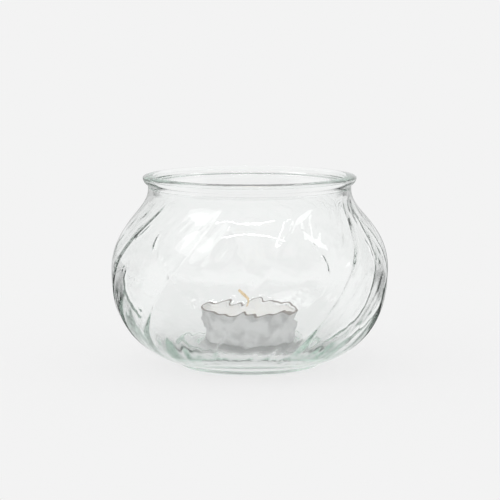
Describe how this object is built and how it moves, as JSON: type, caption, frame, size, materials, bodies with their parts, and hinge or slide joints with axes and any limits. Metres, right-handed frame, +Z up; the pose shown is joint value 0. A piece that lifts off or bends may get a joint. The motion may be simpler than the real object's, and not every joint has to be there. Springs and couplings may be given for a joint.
{
  "type": "glass tealight holder",
  "caption": "Squat round clear glass bowl with swirling ribs, a short neck and a rolled rim, holding a loose tealight in its metal cup.",
  "frame": {"origin": "middle of the foot, on the surface that the bowl stands on", "axes": "+Z up along the bowl's axis; -Y is the front, the side that the picture shows"},
  "size_m": [0.1119, 0.1124, 0.077],
  "materials": {
    "glass": "clear, very pale green, fire-polished",
    "cup": "matt drawn sheet",
    "wax": "white paraffin wax",
    "tin": "tinned",
    "wick": "waxed cotton braid"
  },
  "bodies": {
    "bowl": {"glass_bowl": "glass"},
    "cup": {"tealight_cup": "cup"},
    "candle": {"wax": "wax", "wick_sustainer": "tin", "wick": "wick"}
  },
  "joints": [
    {"name": "tealight_lift", "type": "slide", "parent": "bowl", "child": "cup", "axis": [0, 0, 1], "range_m": [0, 0.08]},
    {"name": "candle_lift", "type": "slide", "parent": "cup", "child": "candle", "axis": [0, 0, 1], "range_m": [0, 0.018]}
  ]
}
